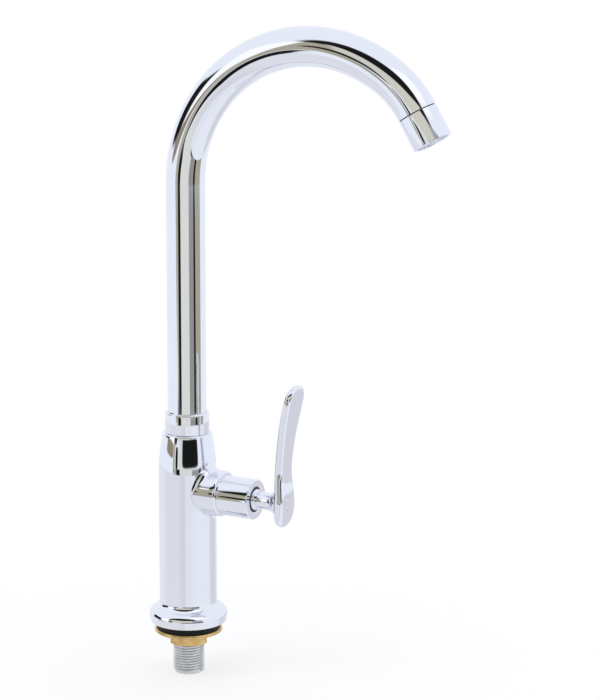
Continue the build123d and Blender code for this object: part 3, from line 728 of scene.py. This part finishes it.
@dataclass
class ValveBonnet:
    """Sleeve over the valve, with the headwork behind it. Sizes in mm, measured from the body's axis."""

    valve_z: float = 88.7
    start: float = 28.2
    end: float = 50.9
    radius: float = 13.2
    bore: float = 11.7
    end_wall: float = 2.0
    hole: float = 8.35
    edge_round: float = 0.8
    steps: int = 96

    def build(self) -> bpy.types.Object:
        """Turns the sleeve on the valve's axis.

        Returns:
            The sleeve.
        """
        bm = lathe(
            [
                (self.bore, self.start),
                (self.radius, self.start),
                (self.radius, self.end),
                (self.hole, self.end),
                (self.hole, self.end - self.end_wall),
                (self.bore, self.end - self.end_wall),
            ],
            self.steps,
        )
        round_ring(bm, self.radius, self.end, self.edge_round)
        round_ring(bm, self.hole, self.end, self.edge_round)
        sideways = Matrix.Translation((0, 0, self.valve_z)) @ Matrix.Rotation(math.pi / 2, 4, "Y")
        bmesh.ops.transform(bm, matrix=sideways, verts=bm.verts)
        return make_piece(bm, "valve_bonnet", CHROME, "base", "bonnet")

    def dress(self) -> None:
        """Finishes the bush in the sleeve and the headwork behind it."""
        dress(ACETAL, "hub_bush")
        dress(BRASS, "headwork_body")
        dress(CERAMIC, "fixed_disc", "moving_disc")
        dress(NYLON, "thrust_washer")


@dataclass(frozen=True)
class LeverRow:
    """One section of the lever: height, back and front along X, and half its width, in mm."""

    z: float
    back: float
    front: float
    half: float


@dataclass
class LeverHandle:
    """Upright lever with a round neck, and the pieces that fix it. Sizes in mm."""

    valve_z: float = 88.7
    front_corner: float = 1.1
    back_corner: float = 2.2
    corner_limit: float = 2.5
    hub_rows: tuple[int, int, int] = (3, 4, 5)
    back_middle: tuple[int, int, int] = (5, 6, 7)
    front_middle: tuple[int, int, int] = (11, 0, 1)
    axis_clear: float = 0.5
    hub_end: float = 46.8
    hub_radius: float = 7.0
    hub_edge: float = 0.4
    hub_face_step: float = 0.5
    hub_shoulder: float = 51.5
    shoulder_ease: float = 2.2
    shoulder_hollow: Point = (0.5, 0.1)
    shoulder_corner: float = 0.3
    neck_radius: float = 5.6
    neck_waist: float = 58.3
    neck_flare: tuple[Point, ...] = ((0.3, 3.2), (1.5, 2.2), (3.4, 1.2), (6.0, 0.3))
    cap_radius: float = 4.35
    cap_depth: float = 2.2
    recess_inset: float = 0.1
    recess_margin: float = 1.4
    recess_lip: Point = (0.12, 0.15)
    recess_floor: Point = (0.1, 0.4)
    smooth_levels: int = 4
    rows: tuple[LeverRow, ...] = (
        LeverRow(73.6, 68.4, 72.4, 3.4),
        LeverRow(75.0, 67.6, 73.2, 6.0),
        LeverRow(77.6, 67.3, 73.9, 8.4),
        LeverRow(81.2, 67.4, 74.6, 9.5),
        LeverRow(88.7, 67.6, 75.0, 9.7),
        LeverRow(96.2, 67.7, 74.8, 9.0),
        LeverRow(104.5, 67.0, 73.95, 8.1),
        LeverRow(114.2, 67.0, 73.9, 7.7),
        LeverRow(124.0, 68.3, 75.2, 8.0),
        LeverRow(135.0, 69.7, 76.5, 8.8),
        LeverRow(146.0, 71.9, 78.8, 9.9),
        LeverRow(153.5, 73.6, 80.3, 10.4),
        LeverRow(158.8, 75.2, 81.6, 10.45),
        LeverRow(163.0, 75.6, 82.0, 9.3),
        LeverRow(165.8, 77.6, 82.55, 6.6),
        LeverRow(167.6, 78.2, 82.0, 3.3),
    )

    def section(self, row: LeverRow) -> list[Vector]:
        """Twelve corners of one section, from the middle of the front round by the right side.

        Args:
            row: the section.

        Returns:
            The corners in order.
        """
        most = min(row.half / 2, (row.front - row.back) / self.corner_limit)
        front_cut, back_cut = min(self.front_corner, most), min(self.back_corner, most)
        middle = (row.front + row.back) / 2
        half = [
            (row.front, 0.0),
            (row.front, row.half - front_cut),
            (row.front - front_cut, row.half),
            (middle, row.half),
            (row.back + back_cut, row.half),
            (row.back, row.half - back_cut),
            (row.back, 0.0),
        ]
        other = [(x, -y) for x, y in reversed(half[1:-1])]
        return [Vector((x, y, row.z)) for x, y in half + other]

    def grow(
        self, bm: bmesh.types.BMesh, faces: list[bmesh.types.BMFace], rings: list[Point], smooth: float
    ) -> None:
        """Draws a round neck or recess out of four faces of the lever.

        Args:
            bm: the lever.
            faces: four faces round the valve's axis.
            rings: pairs of place along X and wanted radius, in order.
            smooth: share of its cage that the subdivided ring keeps.
        """
        for x, radius in rings:
            grown = bmesh.ops.extrude_face_region(bm, geom=faces)["geom"]
            bmesh.ops.delete(bm, geom=faces, context="FACES_KEEP_BOUNDARY")
            faces = [g for g in grown if isinstance(g, bmesh.types.BMFace)]
            for vert in {v for f in faces for v in f.verts}:
                off = Vector((vert.co.y, vert.co.z - self.valve_z))
                if off.length > self.axis_clear:
                    eighth = round(math.atan2(off.y, off.x) / (math.pi / 4)) * math.pi / 4
                    off = Vector((math.cos(eighth), math.sin(eighth))) * (radius / smooth)
                else:
                    off = Vector((0, 0))
                vert.co = (x, off.x, self.valve_z + off.y)

    def build(self) -> bpy.types.Object:
        """Draws the blade from section to section, then the neck and the cap's recess.

        Returns:
            The lever.
        """
        bm = bmesh.new()
        foot = bm.faces.new([bm.verts.new(co) for co in self.section(self.rows[0])])
        columns = [list(foot.verts)]
        face = foot
        for row in self.rows[1:]:
            grown = bmesh.ops.extrude_discrete_faces(bm, faces=[face])["faces"]
            face = grown[0]
            for vert, co in zip(face.verts, self.section(row)):
                vert.co = co
            columns.append(list(face.verts))

        def patch(corners: tuple[int, int, int]) -> list[bmesh.types.BMFace]:
            """Four faces round the valve's axis, on the front or the back."""
            wanted = {columns[r][c] for r in self.hub_rows for c in corners}
            return [f for f in bm.faces if len(f.verts) == 4 and all(v in wanted for v in f.verts)]

        # Share of its size that an octagon of the cage keeps when it is subdivided
        keeps = (2 + math.cos(math.pi / 4)) / 3
        hub = self.rows[self.hub_rows[1]]
        neck = [(hub.back - behind, self.neck_radius + more) for behind, more in self.neck_flare] + [
            (self.neck_waist, self.neck_radius),
            (self.hub_shoulder + self.shoulder_ease, self.neck_radius),
            (self.hub_shoulder + self.shoulder_hollow[0], self.neck_radius + self.shoulder_hollow[1]),
            (self.hub_shoulder + self.shoulder_corner, self.hub_radius - self.shoulder_corner),
            (self.hub_shoulder, self.hub_radius),
            (self.hub_end + self.hub_edge, self.hub_radius),
            (self.hub_end, self.hub_radius),
            (self.hub_end, self.hub_radius - self.hub_face_step),
        ]
        front = hub.front - self.recess_inset
        floor = front - self.cap_depth
        recess = [
            (front, self.cap_radius + self.recess_margin),
            (front, self.cap_radius + self.recess_lip[1]),
            (front - self.recess_lip[0], self.cap_radius),
            (floor, self.cap_radius),
            (floor - self.recess_floor[0], self.cap_radius - self.recess_floor[1]),
        ]
        self.grow(bm, patch(self.back_middle), neck, keeps)
        self.grow(bm, patch(self.front_middle), recess, keeps)
        bmesh.ops.recalc_face_normals(bm, faces=bm.faces)
        lever = make_piece(bm, "spoon_lever", CHROME, "handle", "lever_handle", crease=180.0)
        smooth = lever.modifiers.new("smooth", "SUBSURF")
        smooth.levels = smooth.render_levels = self.smooth_levels
        return lever

    def dress(self) -> None:
        """Finishes the cap, the screw and the spindle."""
        dress(CHROME, "index_cap")
        dress(STEEL, "handle_screw", "spindle_circlip")
        dress(BRASS, "spindle")
        dress(RUBBER, "spindle_o_ring")


@dataclass
class DeckFixing:
    """Threaded shank, washer and back nut below the deck."""

    def dress(self) -> None:
        """Finishes the shank, the washer and the nut."""
        dress(NICKEL, "inlet_shank")
        dress(RUBBER, "base_gasket")
        dress(BRASS, "lock_nut")


class Tone(Enum):
    """Linear colours of what stands round the tap."""

    WHITE = (0.97, 1.0, 1.06, 1.0)
    BRIGHT = (1.2, 1.2, 1.2, 1.0)
    PEARL = (0.84, 0.91, 0.94, 1.0)
    PALE = (0.83, 0.84, 0.77, 1.0)
    STONE = (0.74, 0.72, 0.61, 1.0)
    SLATE = (0.42, 0.44, 0.46, 1.0)
    GREY = (0.34, 0.34, 0.31, 1.0)
    KHAKI = (0.46, 0.43, 0.33, 1.0)
    TAN = (0.33, 0.27, 0.20, 1.0)
    DARK = (0.08, 0.08, 0.065, 1.0)
    BLACK = (0.012, 0.012, 0.012, 1.0)


@dataclass(frozen=True)
class Flag:
    """A flag or wall in the room, by its edges in degrees: bearing to the camera's right, and lift."""

    tone: Tone
    left: float
    right: float
    low: float
    high: float
    soft: float = 0.15
    square: float = 6.0

    def paint(
        self,
        tree: bpy.types.NodeTree,
        bearing: bpy.types.NodeSocket,
        lift: bpy.types.NodeSocket,
        room: Colour,
    ) -> bpy.types.NodeSocket:
        """Paints the flag over the room so far.

        Args:
            tree: the world's node tree.
            bearing: socket of the bearing in radians.
            lift: socket of the lift in radians.
            room: the colour so far, or its socket.

        Returns:
            Socket of the new colour.
        """
        terms = []
        for socket, start, end in ((bearing, self.left, self.right), (lift, self.low, self.high)):
            centre, half = math.radians(start + end) / 2, math.radians(end - start) / 2
            across = add_node(
                tree, "Math", {0: socket, 1: 1 / half, 2: -centre / half}, operation="MULTIPLY_ADD"
            ).outputs[0]
            across = add_node(tree, "Math", {0: across}, operation="ABSOLUTE").outputs[0]
            terms.append(add_node(tree, "Math", {0: across, 1: self.square}, operation="POWER").outputs[0])
        reach = add_node(tree, "Math", {0: terms[0], 1: terms[1]}, operation="ADD").outputs[0]
        edge = self.soft * self.square / 2
        inside = add_node(
            tree,
            "MapRange",
            {"Value": reach, "From Min": 1 + edge, "From Max": max(1 - edge, 0.0)},
            interpolation_type="SMOOTHSTEP",
        ).outputs[0]
        return add_node(tree, "Mix", {0: inside, 6: room, 7: self.tone.value}, data_type="RGBA").outputs[2]


@dataclass
class Studio:
    """White sweep with flags that the chrome mirrors, a pale floor, a soft lamp and the camera."""

    camera_at: tuple[float, float, float] = (0.83951, -1.4529, 0.547)
    look_at: tuple[float, float, float] = (0.06443, 0.03537, 0.18236)
    roll_deg: float = 0.12
    lens_mm: float = 136.08
    sensor_mm: float = 36.0
    clip_m: Point = (0.05, 50.0)
    floor_z: float = -0.0354
    floor_radius: float = 0.73
    floor_segments: int = 96
    floor_glow: float = 0.7
    floor_fade: Point = (0.06, 0.30)
    paper_white: str = "#F4F4F4"
    fibre_mm: float = 2.5
    fibre_depth_mm: float = 0.02
    # Painted reflection tones of the floor by bearing in degrees, which only mirrored rays see: the darker
    # sectors give the chrome grey fields
    painted_reflection_tones: tuple[tuple[float, tuple[float, float, float]], ...] = (
        (-180, (0.90, 0.93, 0.98)),
        (-110, (0.92, 0.94, 0.98)),
        (-88, (0.86, 0.86, 0.89)),
        (-40, (0.87, 0.87, 0.91)),
        (-20, (0.79, 0.79, 0.81)),
        (-13, (0.79, 0.79, 0.81)),
        (-8, (0.89, 0.92, 0.97)),
        (12, (0.90, 0.93, 0.98)),
        (35, (0.96, 0.98, 1.03)),
        (88, (0.95, 0.97, 1.02)),
        (100, (0.78, 0.78, 0.82)),
        (125, (0.76, 0.76, 0.80)),
        (150, (0.90, 0.93, 0.98)),
        (180, (0.90, 0.93, 0.98)),
    )
    lamp_strength: float = 0.7
    lamp_spread_deg: float = 40.0
    lamp_tilt_deg: Point = (32.0, -18.0)
    flags: tuple[Flag, ...] = (
        Flag(Tone.PEARL, -400, 400, -100, -35.5, square=20.0),
        Flag(Tone.BRIGHT, 0, 74, 38, 66, soft=0.4, square=3.0),
        Flag(Tone.BLACK, -64, 24, 4, 58, square=2.2),
        Flag(Tone.BRIGHT, -85, -60, 0.5, 27, square=8.0),
        Flag(Tone.STONE, -54, 14, 4, 31, square=12.0),
        Flag(Tone.SLATE, 10, 42, 4, 30, square=8.0),
        Flag(Tone.BLACK, -121, -87, -0.5, 19, soft=0.25),
        Flag(Tone.TAN, -97, -62, -5, 1),
        Flag(Tone.KHAKI, -61, -53, -12, 26),
        Flag(Tone.BLACK, -58, -46, 1.5, 10.5, square=3.0),
        Flag(Tone.BLACK, -50, -40, -9, 1, square=4.0),
        Flag(Tone.PALE, -38, 18, -34, 6, square=12.0),
        Flag(Tone.GREY, 17, 45, -33, -8.4, square=16.0),
        Flag(Tone.DARK, 6, 24, -33, -24, soft=0.3),
        Flag(Tone.BLACK, 44, 56, -33, -8.4, square=16.0),
        Flag(Tone.KHAKI, 56, 91, -34, -8.4, square=16.0),
        Flag(Tone.KHAKI, -53, -44, -14, -8.4, square=8.0),
        Flag(Tone.BLACK, -46, -31, -14, -8.4, square=8.0),
        Flag(Tone.BLACK, -59, -41, -34, -13.5, square=8.0),
        Flag(Tone.BLACK, -22, 44, -7.6, 7, square=8.0),
    )

    def ahead(self) -> float:
        """Bearing of the camera from the tap's axis, in radians."""
        return math.atan2(self.camera_at[1], self.camera_at[0])

    def bearing(
        self, tree: bpy.types.NodeTree, x: bpy.types.NodeSocket, y: bpy.types.NodeSocket
    ) -> bpy.types.NodeSocket:
        """Bearing of a point or direction, to the camera's right.

        Args:
            tree: node tree that gets the nodes.
            x: socket of its X.
            y: socket of its Y.

        Returns:
            Socket of the bearing in radians, from minus pi to pi.
        """
        angle = add_node(tree, "Math", {0: y, 1: x}, operation="ARCTAN2").outputs[0]
        turned = add_node(tree, "Math", {0: angle, 1: self.ahead()}, operation="SUBTRACT").outputs[0]
        return add_node(tree, "Math", {0: turned, 1: math.pi, 2: -math.pi}, operation="WRAP").outputs[0]

    def build_camera(self) -> None:
        """Stands the camera where the photographer stood."""
        data = bpy.data.cameras.new("camera")
        data.lens, data.sensor_width, data.sensor_fit = self.lens_mm, self.sensor_mm, "AUTO"
        data.clip_start, data.clip_end = self.clip_m
        camera = bpy.data.objects.new("camera", data)
        bpy.context.scene.collection.objects.link(camera)
        ahead = (Vector(self.look_at) - Vector(self.camera_at)).normalized()
        right = ahead.cross((0, 0, 1)).normalized()
        turn = Matrix((right, right.cross(ahead), -ahead)).transposed()
        turn = turn @ Matrix.Rotation(math.radians(self.roll_deg), 3, "Z")
        camera.matrix_world = Matrix.Translation(self.camera_at) @ turn.to_4x4()
        bpy.context.scene.camera = camera

    def build_world(self) -> None:
        """Hangs the flags that the chrome mirrors in a white sweep, which is all that the camera sees."""
        world = bpy.data.worlds.new("white_sweep")
        bpy.context.scene.world = world
        world.use_nodes = True
        tree = world.node_tree
        tree.nodes.clear()
        way = add_node(tree, "SeparateXYZ", {0: add_node(tree, "TexCoord").outputs["Generated"]}).outputs
        bearing = self.bearing(tree, way["X"], way["Y"])
        lift = add_node(tree, "Math", {0: way["Z"]}, operation="ARCSINE").outputs[0]
        room = Tone.WHITE.value
        for flag in self.flags:
            room = flag.paint(tree, bearing, lift, room)
        seen = add_node(tree, "LightPath").outputs["Is Camera Ray"]
        shown = add_node(tree, "Mix", {0: seen, 6: room, 7: PURE_WHITE}, data_type="RGBA").outputs[2]
        sky = add_node(tree, "Background", {"Color": shown, "Strength": 1.0})
        add_node(tree, "OutputWorld", {"Surface": sky.outputs[0]})

    def floor_paper(self) -> bpy.types.Material:
        """Paper of the floor, as white as the sweep where nothing shades it, with painted reflection tones
        that only mirrored rays see.

        Returns:
            The material.
        """
        # Matt white paper with a fine tooth and no shine; it glows white to the camera, and to mirrored rays
        # it glows in painted reflection tones by bearing, darker in some sectors, that the chrome mirrors as
        # grey fields
        paper = bpy.data.materials.new("matt_white_paper")
        paper.use_nodes = True
        tree = paper.node_tree
        tree.nodes.clear()
        place = add_node(tree, "TexCoord").outputs["Object"]
        fibre = add_node(tree, "TexNoise", {"Vector": place, "Scale": 1 / (self.fibre_mm * MM)})
        tooth = {"Height": fibre.outputs["Fac"], "Distance": self.fibre_depth_mm * MM}
        bump = add_node(tree, "Bump", tooth).outputs["Normal"]
        matt = add_node(tree, "BsdfDiffuse", {"Color": linear(self.paper_white), "Normal": bump}).outputs[0]
        path = add_node(tree, "LightPath").outputs
        rays = {0: path["Is Glossy Ray"], 1: path["Is Transmission Ray"]}
        mirrored = add_node(tree, "Math", rays, operation="MAXIMUM").outputs[0]
        rays = {0: path["Is Camera Ray"], 1: mirrored}
        shown = add_node(tree, "Math", rays, operation="MAXIMUM").outputs[0]
        away = add_node(tree, "VectorMath", {0: place}, operation="LENGTH").outputs["Value"]
        fade = add_node(
            tree,
            "MapRange",
            {
                "Value": away,
                "From Min": self.floor_fade[0],
                "From Max": self.floor_fade[1],
                "To Min": self.floor_glow,
                "To Max": 1.0,
            },
            interpolation_type="SMOOTHSTEP",
        ).outputs[0]
        share = add_node(tree, "Math", {0: shown, 1: fade}, operation="MULTIPLY").outputs[0]
        spot = add_node(tree, "SeparateXYZ", {0: place}).outputs
        turn = {"Value": self.bearing(tree, spot["X"], spot["Y"]), "From Min": -math.pi, "From Max": math.pi}
        around = add_node(tree, "MapRange", turn).outputs[0]
        # Painted reflection: the floor's tone for mirrored rays, darker in some sectors by bearing round the
        # tap
        reflection_ramp = add_node(tree, "ValToRGB", {"Fac": around})
        set_stops(reflection_ramp.color_ramp, [((a + 180) / 360, (*c, 1.0)) for a, c in self.painted_reflection_tones])
        tones = {0: mirrored, 6: PURE_WHITE, 7: reflection_ramp.outputs["Color"]}
        tint = add_node(tree, "Mix", tones, data_type="RGBA").outputs[2]
        glow = add_node(tree, "Emission", {"Color": tint, "Strength": 1.0}).outputs[0]
        mixed = add_node(tree, "MixShader", {0: share, 1: matt, 2: glow}).outputs[0]
        add_node(tree, "OutputMaterial", {"Surface": mixed})
        return paper

    def build_floor(self) -> None:
        """Lays a pale round floor that fades into the sweep and keeps the shadow."""
        bm = bmesh.new()
        level = Matrix.Translation((0, 0, self.floor_z))
        bmesh.ops.create_circle(
            bm, cap_ends=True, segments=self.floor_segments, radius=self.floor_radius, matrix=level
        )
        mesh = bpy.data.meshes.new("floor")
        bm.to_mesh(mesh)
        bm.free()
        mesh.materials.append(self.floor_paper())
        floor = bpy.data.objects.new("floor", mesh)
        bpy.context.scene.collection.objects.link(floor)

    def build_lamp(self) -> None:
        """Hangs one broad soft lamp above and to the left."""
        data = bpy.data.lights.new("soft_lamp", "SUN")
        data.energy, data.angle = self.lamp_strength, math.radians(self.lamp_spread_deg)
        lamp = bpy.data.objects.new("soft_lamp", data)
        bpy.context.scene.collection.objects.link(lamp)
        lamp.rotation_euler = (*map(math.radians, self.lamp_tilt_deg), 0)
        lamp.visible_glossy = False

    def build(self) -> None:
        """Sets up the whole studio."""
        scene = bpy.context.scene
        scene.view_settings.view_transform = "Standard"
        self.build_camera()
        self.build_world()
        self.build_floor()
        self.build_lamp()


def main() -> None:
    """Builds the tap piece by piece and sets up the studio."""
    logging.basicConfig(level=logging.INFO, format="%(name)s: %(message)s")
    for assembly in (BodyCasting(), SwanNeckSpout(), ValveBonnet(), LeverHandle()):
        assembly.build()
        assembly.dress()
    DeckFixing().dress()
    Studio().build()


if __name__ == "__main__":
    main()
